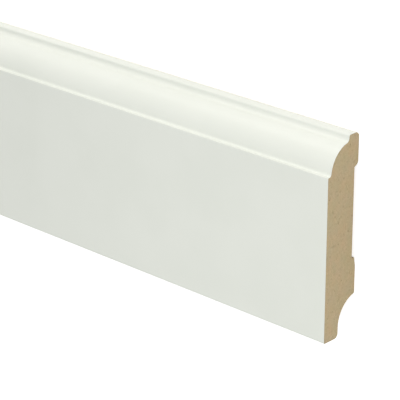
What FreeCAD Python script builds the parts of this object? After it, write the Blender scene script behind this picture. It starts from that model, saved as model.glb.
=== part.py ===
import FreeCAD, Part
import os
from math import sqrt
from FreeCAD import Vector

# A length of painted MDF skirting board, run through a moulder as one piece and lying on its back.
# +X runs along the length, +Y towards the moulded top edge and +Z out of the decorated face.
# The origin is the centre of the board's footprint, on the plane of its back.

# The board as it is sold.
length = 2400.0
board_height = 70.0
board_thickness = 15.0

# The bottom arris of the flat face, eased so that the paint holds on it.
face_arris_radius = 0.5

# The moulding above the face: a quirk set back from the face, an ovolo that rises from it, a narrow
# shelf, and a small cove under the top fillet. The ovolo runs over what thickness the rest leaves.
quirk_depth = 1.5
ovolo_radius = 9.6
shelf_width = 0.4
cove_radius = 1.2
fillet_height = 1.3
fillet_thickness = 4.9
fillet_arris_radius = 0.6

# The back's top corner, planed off so that the fillet sits tight to an uneven wall.
top_chamfer = 1.1

# The shallow relief channel down the back, between an upper and a lower land. It starts at a rounded
# shoulder, and a step and a slope bring it back to the lower land.
channel_depth = 1.8
upper_land_height = 8.7
lead_depth = 0.5
lead_step_height = 0.6
lead_slope_height = 2.5
lower_land_height = 9.5

# The cable channel along the back's bottom corner: a cove that ends in a straight wall.
cable_depth = 8.0
cable_cove_radius = 9.9
cable_wall_height = 3.7
cable_arris_radius = 0.4
foot_arris_radius = 1.6

# Places that the sizes above settle: heights above the board's foot, and depths behind its face.
fillet_depth = board_thickness - fillet_thickness
ovolo_depth = quirk_depth + ovolo_radius
ovolo_run = fillet_depth - cove_radius - shelf_width - quirk_depth
ovolo_rise = sqrt(ovolo_radius ** 2 - (ovolo_radius - ovolo_run) ** 2)
cove_height = board_height - fillet_height
shelf_height = cove_height - cove_radius
quirk_height = shelf_height - ovolo_rise
channel_floor = board_thickness - channel_depth
cable_wall_depth = board_thickness - cable_depth
cable_centre_depth = cable_wall_depth + cable_cove_radius
cable_arris_depth = board_thickness - cable_arris_radius
cable_arris_rise = sqrt((cable_cove_radius + cable_arris_radius) ** 2
                        - (cable_centre_depth - cable_arris_depth) ** 2)
cable_arris_height = cable_wall_height + cable_arris_rise


def at(height, depth):
    """A point of the left-hand end, by its height above the foot and its depth behind the face."""
    return Vector(-length / 2, height - board_height / 2, board_thickness - depth)


def around(height, depth, radius, up, back):
    """The point of a circle of the section that lies up and back from its centre, as a direction."""
    reach = radius / sqrt(up * up + back * back)
    return at(height + up * reach, depth + back * reach)


# Each function below returns its part of the outline, from where the one before it ends. A single
# point is the end of a straight line, and a pair is the middle and the end of an arc.

def face():
    """The eased bottom arris and the flat face."""
    radius = face_arris_radius
    return [(around(radius, radius, radius, -1, -1), at(radius, 0)),
            (at(quirk_height, 0),)]


def moulding():
    """The quirk, the ovolo with its centre level with the quirk, the shelf and the small cove."""
    cove_depth = fillet_depth - cove_radius
    return [(at(quirk_height, quirk_depth),),
            (around(quirk_height, ovolo_depth, ovolo_radius, ovolo_rise, ovolo_run - 2 * ovolo_radius),
             at(shelf_height, quirk_depth + ovolo_run)),
            (at(shelf_height, cove_depth),),
            (around(cove_height, cove_depth, cove_radius, -1, 1), at(cove_height, fillet_depth))]


def fillet():
    """The fillet's front, its eased arris, the top edge and the chamfer behind it."""
    radius = fillet_arris_radius
    arris_height = board_height - radius
    arris_depth = fillet_depth + radius
    return [(at(arris_height, fillet_depth),),
            (around(arris_height, arris_depth, radius, 1, -1), at(board_height, arris_depth)),
            (at(board_height, board_thickness - top_chamfer),),
            (at(board_height - top_chamfer, board_thickness),)]


def relief_channel():
    """The upper land, the rounded shoulder, the channel's floor, the lead-in and the lower land."""
    shoulder = board_height - top_chamfer - upper_land_height
    slope_end = cable_arris_height + lower_land_height
    slope_start = slope_end + lead_slope_height
    step = slope_start + lead_step_height
    return [(at(shoulder, board_thickness),),
            (around(shoulder, channel_floor, channel_depth, -1, 1),
             at(shoulder - channel_depth, channel_floor)),
            (at(step, channel_floor),),
            (at(step, board_thickness - lead_depth),),
            (at(slope_start, board_thickness - lead_depth),),
            (at(slope_end, board_thickness),),
            (at(cable_arris_height, board_thickness),)]


def cable_channel():
    """The land's eased edge, the cove, its straight wall, and the eased edge of the foot."""
    edge_back = cable_arris_depth - cable_centre_depth
    edge_end = around(cable_wall_height, cable_centre_depth, cable_cove_radius,
                      cable_arris_rise, edge_back)
    radius = foot_arris_radius
    return [(around(cable_arris_height, cable_arris_depth, cable_arris_radius, -1, 1), edge_end),
            (around(cable_wall_height, cable_centre_depth, cable_cove_radius, 1, -2),
             at(cable_wall_height, cable_wall_depth)),
            (at(radius, cable_wall_depth),),
            (around(radius, cable_wall_depth - radius, radius, -1, 1),
             at(0, cable_wall_depth - radius)),
            (at(0, face_arris_radius),)]


def section():
    """The board's cross section, from the foot up the front and down the back."""
    pen = at(0, face_arris_radius)
    edges = []
    for stretch in face() + moulding() + fillet() + relief_channel() + cable_channel():
        if len(stretch) == 1:
            edges.append(Part.LineSegment(pen, stretch[0]).toShape())
        else:
            edges.append(Part.Arc(pen, stretch[0], stretch[1]).toShape())
        pen = stretch[-1]
    return Part.Face(Part.Wire(edges))


def skirting_board():
    """The whole board: its section drawn out along the length, with both ends sawn square."""
    return section().extrude(Vector(length, 0, 0))


os.makedirs("parts", exist_ok=True)
board = skirting_board()
print("valid", board.isValid(), "solids", len(board.Solids), "litres", round(board.Volume / 1e6, 4))
board.exportStep("parts/skirting_board.step")
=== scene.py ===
import bmesh
import bpy
from math import asin, atan2, ceil, pi, radians, sqrt
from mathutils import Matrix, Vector


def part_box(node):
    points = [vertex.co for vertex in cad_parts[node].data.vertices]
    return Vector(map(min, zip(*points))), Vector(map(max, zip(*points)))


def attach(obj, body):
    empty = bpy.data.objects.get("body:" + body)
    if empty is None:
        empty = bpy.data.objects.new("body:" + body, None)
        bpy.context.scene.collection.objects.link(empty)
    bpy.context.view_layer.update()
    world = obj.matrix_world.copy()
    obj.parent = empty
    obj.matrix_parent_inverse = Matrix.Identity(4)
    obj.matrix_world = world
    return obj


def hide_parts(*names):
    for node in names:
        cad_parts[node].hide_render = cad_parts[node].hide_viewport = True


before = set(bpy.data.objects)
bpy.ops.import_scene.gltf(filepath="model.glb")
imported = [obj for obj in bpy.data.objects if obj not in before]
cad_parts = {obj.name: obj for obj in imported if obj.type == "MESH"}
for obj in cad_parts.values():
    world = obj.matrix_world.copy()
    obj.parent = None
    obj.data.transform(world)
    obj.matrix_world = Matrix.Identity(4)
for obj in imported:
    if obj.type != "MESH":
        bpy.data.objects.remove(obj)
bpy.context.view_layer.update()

# The board: one length of MDF, run through a moulder and lying on its back with its face up. The
# section is drawn at the left-hand end by heights above the foot and depths behind the face, all in
# millimetres, and is then run out to the other end, as the moulder does it.

MM = 0.001
low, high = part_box("skirting_board")
board_length = high.x - low.x
board_height = (high.y - low.y) / MM
board_thickness = (high.z - low.z) / MM

face_arris_radius = 0.5
quirk_depth = 1.5
ovolo_radius = 9.6
shelf_width = 0.4
cove_radius = 1.2
fillet_height = 1.3
fillet_thickness = 4.9
fillet_arris_radius = 0.6
top_chamfer = 1.1
channel_depth = 1.8
upper_land_height = 8.7
lead_depth = 0.5
lead_step_height = 0.6
lead_slope_height = 2.5
lower_land_height = 9.5
cable_depth = 8.0
cable_cove_radius = 9.9
cable_wall_height = 3.7
cable_arris_radius = 0.4
foot_arris_radius = 1.6

fillet_depth = board_thickness - fillet_thickness
ovolo_run = fillet_depth - cove_radius - shelf_width - quirk_depth
ovolo_rise = sqrt(ovolo_radius ** 2 - (ovolo_radius - ovolo_run) ** 2)
cove_height = board_height - fillet_height
shelf_height = cove_height - cove_radius
quirk_height = shelf_height - ovolo_rise
shoulder_height = board_height - top_chamfer - upper_land_height
channel_floor = board_thickness - channel_depth
lead_floor = board_thickness - lead_depth
cable_wall_depth = board_thickness - cable_depth
cable_centre_depth = cable_wall_depth + cable_cove_radius
cable_arris_depth = board_thickness - cable_arris_radius
cable_arris_inset = cable_centre_depth - cable_arris_depth
cable_arris_rise = sqrt((cable_cove_radius + cable_arris_radius) ** 2 - cable_arris_inset ** 2)
cable_arris_height = cable_wall_height + cable_arris_rise
slope_end = cable_arris_height + lower_land_height
slope_start = slope_end + lead_slope_height
step_height = slope_start + lead_step_height

arc_step = 0.35          # the longest piece of an arc
arc_pieces = 5           # the fewest pieces of an arc, however short it is
flat_margin = 0.6        # how far in from its ends a flat has a stop, so that its shading stays flat
soft_corner = 0.13       # the round that cutters and paint leave on every corner of the section
corner_pieces = 3        # the pieces of that round
ledge_round = 0.2        # the larger round that paint leaves on the ledge at the top of the face
paint_pool = 0.8         # the hollow round that it leaves where the ovolo rises from the quirk
paint_edge = 0.06        # the paint's thickness, which shows at the sawn ends
dark_edge = 0.32         # the band inside it, where the primer has soaked in
closing_gap = 0.01       # how far apart the outline's two ends may lie for it to close
crowding = 0.3           # how near each other a band's inner points may lie before they become one

# Where the paint's pool starts in the quirk, the turn of the ovolo that it hides, and the radius of
# the small cove with the paint that lies in it and on the shelf.
pool_depth = quirk_depth + ovolo_radius - sqrt(ovolo_radius ** 2 + 2 * ovolo_radius * paint_pool)
pool_lift = asin(paint_pool / (ovolo_radius + paint_pool))
filled_radius = shelf_width + cove_radius


def at(height, depth):
    """A point of the left-hand end, in metres."""
    return Vector((low.x, low.y + height * MM, high.z - depth * MM))


def straight(pen, height, depth):
    """Runs the outline straight on to a point, with a stop a little way in from both ends."""
    start, end = pen.co.copy(), at(height, depth)
    margin = min(flat_margin * MM, (end - start).length / 3)
    inwards = (end - start).normalized() * margin
    for stop in (start + inwards, end - inwards, end):
        pen = bmesh.ops.extrude_vert_indiv(body, verts=[pen])["verts"][0]
        pen.co = stop
    return pen


def arc(pen, height, depth, angle):
    """Runs the outline round a centre: an angle above 0 makes a round edge, and below 0 a hollow."""
    centre = at(height, depth)
    steps = max(arc_pieces, ceil(abs(angle) * (pen.co - centre).length / (arc_step * MM)))
    turned = bmesh.ops.spin(body, geom=[pen], cent=centre, axis=(-1, 0, 0), angle=angle, steps=steps)
    return turned["geom_last"][0]


def widest_face():
    """The section's face, or what the bands along its edge have left of it."""
    return max(body.faces, key=lambda face: face.calc_area())


body = bmesh.new()
near_edge = body.verts.layers.float.new("near_edge")
way_round = body.verts.layers.float.new("way_round")
skin_map = body.loops.layers.uv.new("OFBake")
foot_start = bmesh.ops.create_vert(body, co=at(0, face_arris_radius))["vert"][0]
corners = []

pen = arc(foot_start, face_arris_radius, face_arris_radius, pi / 2)
pen = straight(pen, quirk_height - ledge_round, 0)
pen = arc(pen, quirk_height - ledge_round, ledge_round, pi / 2)
pen = straight(pen, quirk_height, pool_depth)
pen = arc(pen, quirk_height + paint_pool, pool_depth, pool_lift - pi / 2)
ovolo_angle = atan2(ovolo_rise, ovolo_radius - ovolo_run)
pen = arc(pen, quirk_height, quirk_depth + ovolo_radius, ovolo_angle - pool_lift)
corners.append(pen)
pen = arc(pen, shelf_height + filled_radius, fillet_depth - filled_radius, -pi / 2)
pen = straight(pen, board_height - fillet_arris_radius, fillet_depth)
pen = arc(pen, board_height - fillet_arris_radius, fillet_depth + fillet_arris_radius, pi / 2)
for height, depth in ((board_height, board_thickness - top_chamfer),
                      (board_height - top_chamfer, board_thickness)):
    pen = straight(pen, height, depth)
    corners.append(pen)
pen = straight(pen, shoulder_height, board_thickness)
pen = arc(pen, shoulder_height, channel_floor, pi / 2)
corners.append(pen)
for height, depth in ((step_height, channel_floor), (step_height, lead_floor),
                      (slope_start, lead_floor), (slope_end, board_thickness)):
    pen = straight(pen, height, depth)
    corners.append(pen)
pen = straight(pen, cable_arris_height, board_thickness)
cove_angle = atan2(cable_arris_rise, cable_arris_inset)
pen = arc(pen, cable_arris_height, cable_arris_depth, cove_angle)
pen = arc(pen, cable_wall_height, cable_centre_depth, -cove_angle)
pen = straight(pen, foot_arris_radius, cable_wall_depth)
pen = arc(pen, foot_arris_radius, cable_wall_depth - foot_arris_radius, pi / 2)
pen = straight(pen, 0, face_arris_radius)
bmesh.ops.remove_doubles(body, verts=[pen, foot_start], dist=closing_gap * MM)

bmesh.ops.contextual_create(body, geom=body.edges[:])
bmesh.ops.bevel(body, geom=corners, offset=soft_corner * MM, offset_type="OFFSET",
                segments=corner_pieces, profile=0.5, affect="VERTICES", material=-1)
girth = 0
for corner in widest_face().loops:
    corner.vert[way_round] = girth
    girth += corner.edge.calc_length()
for ring in (paint_edge, dark_edge):
    bmesh.ops.inset_region(body, faces=[widest_face()], thickness=ring * MM, use_even_offset=True,
                           use_boundary=True)
    bmesh.ops.remove_doubles(body, verts=widest_face().verts[:], dist=crowding * MM)
run_out = bmesh.ops.extrude_face_region(body, geom=body.faces[:])
far_end = [part for part in run_out["geom"] if isinstance(part, bmesh.types.BMVert)]
bmesh.ops.translate(body, verts=far_end, vec=(board_length, 0, 0))

# The board's skin laid out flat, for textures made from it. The long sides lie in bands one above
# the other, a third of the length in each, and the two ends lie side by side over them, enlarged.

bands = 3
band_height = 0.26       # as a share of the layout's height, and the rest is for the ends
end_width = 0.5          # as a share of its width
skin_gap = 0.004         # left clear round each band and each end


def laid_out(left, bottom, width, height, across, up):
    """A place in a part of the flat layout, by how far across and up that part it lies, from 0 to 1."""
    return (left + skin_gap + across * (width - 2 * skin_gap),
            bottom + skin_gap + up * (height - 2 * skin_gap))


def in_an_end(face):
    """Whether a face is part of a sawn end, and not of a long side."""
    return abs(face.normal.x) > 0.5


for cut in range(1, bands):
    bmesh.ops.bisect_plane(body, geom=body.verts[:] + body.edges[:] + body.faces[:],
                           plane_co=low.lerp(high, cut / bands), plane_no=(1, 0, 0))
bmesh.ops.recalc_face_normals(body, faces=body.faces[:])
ends_bottom = bands * band_height
for face in body.faces:
    band = int((face.calc_center_median().x - low.x) / board_length * bands)
    gone = [corner.vert[way_round] for corner in face.loops]
    over_seam = max(gone) - min(gone) > girth / 2
    for corner, distance in zip(face.loops, gone):
        x, y, z = corner.vert.co - low
        if in_an_end(face):
            left = end_width if face.normal.x > 0 else 0
            place = laid_out(left, ends_bottom, end_width, 1 - ends_bottom,
                             y / (board_height * MM), z / (board_thickness * MM))
        else:
            if over_seam and distance < girth / 2:
                distance += girth
            place = laid_out(0, band * band_height, 1, band_height,
                             x / board_length * bands - band, distance / girth)
        corner[skin_map].uv = place
body.verts.layers.float.remove(way_round)

# The board's finishes: a satin paint on what shows when it is fixed, which laps a few millimetres
# onto the foot, over bare MDF that is sanded where the back touches the wall, milled in the
# channels and sawn at both ends.

PAINTED, LAPPED, SANDED, MILLED, SAWN = range(5)    # in the order that their materials are made

squarely = 0.9           # a face looks squarely one way if at least this part of its normal does
turned_under = 0.01      # the part of the normal that may point down on a painted face
sanding_reach = 0.05     # how far in front of the wall the sanding still takes a land's edges
sharp_turn = 40          # the turn between two faces, in degrees, from which their edge is sharp


def side_finish(face):
    """The finish of a long face, by where it lies and where it looks."""
    spot = face.calc_center_median()
    height, depth = (spot.y - low.y) / MM, (high.z - spot.z) / MM
    down_the_back = depth > channel_floor - soft_corner and height < shoulder_height
    if face.normal.y < -squarely and height < foot_arris_radius:
        return LAPPED
    if face.normal.z > -turned_under and not down_the_back:
        return PAINTED
    if face.normal.z < -squarely and depth > board_thickness - sanding_reach:
        return SANDED
    return MILLED


def rim_beside(side):
    """The faces of the sawn ends that meet a long face."""
    return [face for edge in side.edges for face in edge.link_faces if in_an_end(face)]


for face in body.faces:
    face.smooth = not in_an_end(face)
    face.material_index = side_finish(face) if face.smooth else SAWN
for side in body.faces:
    if side.smooth and side.material_index in (PAINTED, LAPPED):
        for face in rim_beside(side):
            face.material_index = side.material_index
            for vert in face.verts:
                vert[near_edge] = 1

board_mesh = bpy.data.meshes.new("skirting_board_finished")
body.to_mesh(board_mesh)
body.free()
board_mesh.set_sharp_from_angle(angle=radians(sharp_turn))
board = bpy.data.objects.new("skirting_board_finished", board_mesh)
bpy.context.scene.collection.objects.link(board)


def add(tree, kind, plugs=None, **settings):
    """Adds a shader node. Each of its plugs takes a plain value or the output of another node."""
    node = tree.nodes.new("ShaderNode" + kind)
    for name, value in settings.items():
        setattr(node, name, value)
    for socket, value in (plugs or {}).items():
        if isinstance(value, bpy.types.NodeSocket):
            tree.links.new(value, node.inputs[socket])
        else:
            node.inputs[socket].default_value = value
    return node


def stretched(tree, place, scale):
    """The place with each of its axes scaled: a small number draws a pattern out along that axis."""
    return add(tree, "VectorMath", {0: place, 1: scale}, operation="MULTIPLY").outputs[0]


def noise(tree, place, size, detail=2.0, roughness=0.5):
    """A cloudy value about 0.5, with clouds of a size in millimetres."""
    plugs = {"Vector": place, "Scale": 1 / (size * MM), "Detail": detail, "Roughness": roughness}
    return add(tree, "TexNoise", plugs).outputs["Fac"]


def sum_of(tree, start, *terms):
    """A number plus each value's distance from 0.5, times the strength that comes with it."""
    total = start
    for value, strength in terms:
        centred = add(tree, "Math", {0: value, 1: 0.5}, operation="SUBTRACT").outputs[0]
        plugs = {0: centred, 1: strength, 2: total}
        total = add(tree, "Math", plugs, operation="MULTIPLY_ADD").outputs[0]
    return total


def product(tree, first, second):
    """Two values multiplied, such as two masks or a mask and its strength."""
    return add(tree, "Math", {0: first, 1: second}, operation="MULTIPLY").outputs[0]


# The sockets of a Mix node share their names, so they go by number: 0 is for the mask, 2 and 3 are
# for two values, and 6 and 7 for two colours.

def mixed(tree, mask, without, with_it):
    """One colour where the mask is 0 and another where it is 1."""
    plugs = {0: mask, 6: without, 7: with_it}
    return add(tree, "Mix", plugs, data_type="RGBA").outputs[2]


def mixed_value(tree, mask, without, with_it):
    """One value where the mask is 0 and another where it is 1."""
    return add(tree, "Mix", {0: mask, 2: without, 3: with_it}, data_type="FLOAT").outputs[0]


def ramp(tree, value, start, end, lowest=0.0, highest=1.0):
    """A mask that goes smoothly from its lowest to its highest as a value goes from start to end."""
    plugs = {"Value": value, "From Min": start, "From Max": end, "To Min": lowest, "To Max": highest}
    return add(tree, "MapRange", plugs, interpolation_type="SMOOTHSTEP").outputs["Result"]


def group(name, inputs, outputs):
    """An empty node group, with the nodes that bring its inputs and take its outputs."""
    tree = bpy.data.node_groups.new(name, "ShaderNodeTree")
    for side, sockets in (("INPUT", inputs), ("OUTPUT", outputs)):
        for socket, kind in sockets.items():
            tree.interface.new_socket(socket, in_out=side, socket_type="NodeSocket" + kind)
    return tree, tree.nodes.new("NodeGroupInput").outputs, tree.nodes.new("NodeGroupOutput").inputs


straw_tones = ((0.2, (0.436, 0.332, 0.186, 1)),
               (0.5, (0.578, 0.460, 0.272, 1)),
               (0.8, (0.641, 0.511, 0.308, 1)))
flattened = 1.4          # how much flatter than wide the fibres lie, since the board is pressed
bark_colour = (0.25, 0.14, 0.075, 1)
bark_hides = 0.55        # how far a chip of bark hides the fibres
bark_spacing = 1.7       # about how far apart the places are where a chip may lie
bark_edge = 0.30         # how far out from its place a chip reaches, as a share of that spacing
bark_heart = 0.14        # how far out it is whole
bark_rarity = 0.84       # about what share of the places have no chip at all
bark_certainty = 0.90    # the share from which a place has a whole one
bark_tear = 0.5          # the size of the tears in a chip's edge
bark_tear_depth = 0.8

fibres, given, made = group("mdf_fibres", {"Place": "Vector", "Lightness": "Float"},
                            {"Color": "Color", "Height": "Float"})
mat = stretched(fibres, given["Place"], (1, 1, flattened))
clouds = noise(fibres, mat, size=8.0)
mottle = noise(fibres, mat, size=1.6)
grain = noise(fibres, mat, size=0.9, roughness=0.65)
coarse = ramp(fibres, noise(fibres, mat, size=3.0), 0.42, 0.66, lowest=0.2, highest=1.1)
felt = noise(fibres, mat, size=0.26, detail=4.0, roughness=0.7)
tone = sum_of(fibres, 0.5, (clouds, 0.08), (mottle, 0.15), (grain, coarse), (felt, 0.9))
straw = add(fibres, "ValToRGB", {0: tone})
straw.color_ramp.elements.new(0.5)
for stop, (position, colour) in enumerate(straw_tones):
    straw.color_ramp.elements[stop].position = position
    straw.color_ramp.elements[stop].color = colour

tears = add(fibres, "TexNoise", {"Vector": mat, "Scale": 1 / (bark_tear * MM)}).outputs["Color"]
torn = add(fibres, "VectorMath", {0: tears, 1: (bark_tear_depth * MM,) * 3, 2: mat},
           operation="MULTIPLY_ADD").outputs[0]
chips = add(fibres, "TexVoronoi", {"Vector": torn, "Scale": 1 / (bark_spacing * MM)},
            feature="F1").outputs
chip_shape = ramp(fibres, chips["Distance"], bark_edge, bark_heart)
chance = add(fibres, "SeparateColor", {0: chips["Color"]}).outputs[0]
clustered = sum_of(fibres, chance, (noise(fibres, mat, size=6.0), 1.2))
bark = product(fibres, chip_shape, ramp(fibres, clustered, bark_rarity, bark_certainty))
specked = mixed(fibres, product(fibres, bark, bark_hides), straw.outputs["Color"], bark_colour)

ruddy = sum_of(fibres, given["Lightness"], (noise(fibres, mat, size=4.5), 0.2))
sallow = sum_of(fibres, given["Lightness"], (noise(fibres, given["Place"], size=5.5), 0.16))
cast = add(fibres, "CombineColor", {0: ruddy, 1: given["Lightness"], 2: sallow}).outputs[0]
tinted = add(fibres, "Mix", {0: 1.0, 6: specked, 7: cast}, data_type="RGBA", blend_type="MULTIPLY")
fibres.links.new(tinted.outputs[2], made["Color"])
fibres.links.new(sum_of(fibres, 0.5, (mottle, 0.5), (grain, coarse), (felt, 0.8)), made["Height"])

thin_white = (0.815, 0.846, 0.776, 1)
full_white = (0.835, 0.864, 0.796, 1)
satin = 0.42             # the paint's roughness
drawn_out = (0.02, 1, 1)    # the stretch for the lines that the machine draws along the board

film, given, made = group("paint_film", {"Place": "Vector"},
                          {"Color": "Color", "Roughness": "Float", "Height": "Float"})
drift = noise(film, given["Place"], size=22.0)
peel = noise(film, given["Place"], size=1.3, detail=1.0)
drawn = noise(film, stretched(film, given["Place"], drawn_out), size=0.8)
film.links.new(mixed(film, ramp(film, drift, 0.3, 0.7), thin_white, full_white), made["Color"])
film.links.new(sum_of(film, satin, (drift, 0.06), (peel, 0.10)), made["Roughness"])
film.links.new(sum_of(film, 0.5, (peel, 0.7), (drawn, 0.5)), made["Height"])


def new_material(name):
    """A material with only its Principled shader and output, and the place on the piece to paint by."""
    material = bpy.data.materials.new(name)
    material.use_nodes = True
    tree = material.node_tree
    board_mesh.materials.append(material)
    return tree, tree.nodes["Principled BSDF"], add(tree, "TexCoord").outputs["Object"]


def finish(tree, shader, colour, roughness, height, depth):
    """Gives a shader its colour and roughness, and bumps of a depth in millimetres."""
    tree.links.new(colour, shader.inputs["Base Color"])
    if isinstance(roughness, float):
        shader.inputs["Roughness"].default_value = roughness
    else:
        tree.links.new(roughness, shader.inputs["Roughness"])
    bump = add(tree, "Bump", {"Height": height, "Distance": depth * MM, "Strength": 1.0})
    tree.links.new(bump.outputs[0], shader.inputs["Normal"])


tree, shader, place = new_material("satin_paint")
paint = add(tree, "Group", {"Place": place}, node_tree=film).outputs
finish(tree, shader, paint["Color"], paint["Roughness"], paint["Height"], depth=0.012)

lap_reach = 2.6          # how far the paint goes onto the foot, on average
lap_wander = 2.5         # how far that changes along the board
lap_spray = 3.0          # how ragged the lap's end is
lap_thinning = 0.3       # how far outside its end there is still some paint
lap_cover = 0.5          # how far inside its end it covers fully
bare_roughness = 0.8     # the foot's own, beyond the lap

tree, shader, place = new_material("paint_lap")
paint = add(tree, "Group", {"Place": place}, node_tree=film).outputs
fibre = add(tree, "Group", {"Place": place, "Lightness": 0.95}, node_tree=fibres).outputs
wander = noise(tree, place, size=40.0)
spray = noise(tree, place, size=0.7, detail=3.0)
lap_end = sum_of(tree, high.z - lap_reach * MM, (wander, lap_wander * MM), (spray, lap_spray * MM))
up_the_foot = add(tree, "SeparateXYZ", {0: place}).outputs["Z"]
past = add(tree, "Math", {0: up_the_foot, 1: lap_end}, operation="SUBTRACT").outputs[0]
cover = ramp(tree, past, -lap_thinning * MM, lap_cover * MM)
finish(tree, shader, mixed(tree, cover, fibre["Color"], paint["Color"]),
       mixed_value(tree, cover, bare_roughness, paint["Roughness"]),
       mixed_value(tree, cover, fibre["Height"], paint["Height"]), depth=0.02)

along_the_run = (0.01, 1, 1)    # the stretch for the sander's scratches, which run along the board

tree, shader, place = new_material("sanded_mdf")
fibre = add(tree, "Group", {"Place": place, "Lightness": 0.97}, node_tree=fibres).outputs
scratches = noise(tree, stretched(tree, place, along_the_run), size=0.25, detail=3.0)
scored = sum_of(tree, fibre["Height"], (scratches, 1.2))
finish(tree, shader, fibre["Color"], roughness=0.62, height=scored, depth=0.012)

knife_pitch = 2.4
knife_scale = pi / 10 / (knife_pitch * MM)    # one mark for each pitch, as the wave counts them

tree, shader, place = new_material("milled_mdf")
fibre = add(tree, "Group", {"Place": place, "Lightness": 0.92}, node_tree=fibres).outputs
plugs = {"Vector": place, "Scale": knife_scale, "Distortion": 0.6, "Detail": 1.0}
knife_marks = add(tree, "TexWave", plugs, bands_direction="X").outputs["Fac"]
marked = sum_of(tree, fibre["Height"], (knife_marks, 0.9))
finish(tree, shader, fibre["Color"], roughness=0.75, height=marked, depth=0.02)

primer_colour = (0.30, 0.24, 0.15, 1)
primer_soak = 0.35       # how much of it shows right beside the paint

tree, shader, place = new_material("sawn_mdf")
fibre = add(tree, "Group", {"Place": place, "Lightness": 1.0}, node_tree=fibres).outputs
edge = add(tree, "Attribute", attribute_name="near_edge").outputs["Fac"]
soaked = mixed(tree, product(tree, edge, primer_soak), fibre["Color"], primer_colour)
finish(tree, shader, soaked, roughness=0.85, height=fibre["Height"], depth=0.04)

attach(board, "root")
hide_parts("skirting_board")

# The floor: a pale studio floor under the board. What the camera sees of it is white, apart from
# the board's shadow.

floor_reach = 30         # half its width, in metres
floor_drop = 0.2         # how far it lies under the board, in millimetres, to share no plane with it
floor_colour = (0.8, 0.8, 0.8, 1)
floor_roughness = 0.9
floor_glow = 0.75        # what is added for the camera, to bring the lit floor up to white


def seen(tree):
    """1 for a ray that the camera sees, straight or in a gloss or a glass, and 0 for the others."""
    rays = add(tree, "LightPath").outputs
    total = rays["Is Camera Ray"]
    for kind in ("Is Glossy Ray", "Is Transmission Ray"):
        total = add(tree, "Math", {0: total, 1: rays[kind]}, operation="ADD", use_clamp=True).outputs[0]
    return total


floor_form = bmesh.new()
bmesh.ops.create_grid(floor_form, x_segments=1, y_segments=1, size=floor_reach)
bmesh.ops.translate(floor_form, verts=floor_form.verts[:], vec=(0, 0, -floor_drop * MM))
floor_mesh = bpy.data.meshes.new("studio_floor")
floor_form.to_mesh(floor_mesh)
floor_form.free()
floor = bpy.data.objects.new("studio_floor", floor_mesh)
bpy.context.scene.collection.objects.link(floor)

floor_paint = bpy.data.materials.new("studio_floor")
floor_paint.use_nodes = True
floor_mesh.materials.append(floor_paint)
tree = floor_paint.node_tree
shader = tree.nodes["Principled BSDF"]
shader.inputs["Base Color"].default_value = floor_colour
shader.inputs["Roughness"].default_value = floor_roughness
shader.inputs["Emission Color"].default_value = (1, 1, 1, 1)
tree.links.new(product(tree, seen(tree), floor_glow), shader.inputs["Emission Strength"])

# The light: an even white studio, a broad, soft and slightly warm lamp off the board's moulded
# edge, a narrow one beside it that shows only in the paint's gloss, a small soft lamp over each end
# that leaves the floor out, and a weak broad one beyond each end.

studio_level = 0.66
key_level = 0.412
key_colour = (1, 0.955, 0.91)
key_from = Vector((-0.4, 1.93, 0.34))
gloss_level = 0.041
gloss_from = Vector((-1.16, 1.56, 0.47))
beyond_level = 0.166
beyond_rise = 0.1        # how steeply its light comes down, as a slope
broad = 35               # the width of a broad lamp in the sky, in degrees
narrow = 12
over_power = 1.6         # in watts
over_height = 0.6        # in metres, as its reach and radius are
over_reach = 0.06        # how far past its end a lamp over an end hangs
over_cone = 48           # in degrees
over_radius = 0.05

studio = bpy.data.worlds.new("studio")
bpy.context.scene.world = studio
studio.use_nodes = True
tree = studio.node_tree
background = tree.nodes["Background"].inputs
background["Color"].default_value = (1, 1, 1, 1)
tree.links.new(mixed_value(tree, seen(tree), studio_level, 1.0), background["Strength"])


def new_lamp(name, kind, place, comes_from):
    """A lamp at a place, whose light comes from a direction."""
    lamp = bpy.data.objects.new(name, bpy.data.lights.new(name, kind))
    lamp.location = place
    lamp.rotation_euler = comes_from.to_track_quat("Z", "Y").to_euler()
    lamp.visible_camera = False
    bpy.context.scene.collection.objects.link(lamp)
    return lamp


def new_sun(name, comes_from, level, width):
    """A lamp far away, which brings a white surface that faces it up to a level."""
    sun = new_lamp(name, "SUN", comes_from, comes_from)
    sun.data.energy = level * pi
    sun.data.angle = radians(width)
    return sun


key = new_sun("key_lamp", key_from, key_level, broad)
key.data.color = key_colour
gloss = new_sun("gloss_lamp", gloss_from, gloss_level, narrow)
gloss.visible_diffuse = False
lit_from_over = bpy.data.collections.new("lit_from_over")
lit_from_over.objects.link(board)
for side in (-1, 1):
    new_sun("beyond_end", Vector((side, 0, beyond_rise)), beyond_level, broad)
    over_place = Vector((side * (high.x + over_reach), 0, over_height))
    over = new_lamp("over_end", "SPOT", over_place, Vector((0, 0, 1)))
    over.data.energy = over_power
    over.data.spot_size = radians(over_cone)
    over.data.spot_blend = 1
    over.data.shadow_soft_size = over_radius
    over.light_linking.receiver_collection = lit_from_over

# The camera: a long lens beyond the near end, which looks down on the board and back along it. It
# takes in the sawn end and about the first 0.16 m of the run.

camera_place = (1.5704, 0.2634, 0.4741)    # in metres
camera_turn = (-22.806, 42.805, 0)    # in degrees
camera_lens = 182.37     # in millimetres, as the sensor's width is

camera = bpy.data.objects.new("camera", bpy.data.cameras.new("camera"))
camera.data.lens = camera_lens
camera.data.sensor_width = 36
camera.data.clip_start = 0.01
camera.data.clip_end = 200
camera.location = camera_place
camera.rotation_euler = [radians(turn) for turn in camera_turn]
bpy.context.scene.collection.objects.link(camera)
bpy.context.scene.camera = camera
bpy.context.scene.view_settings.view_transform = "Standard"
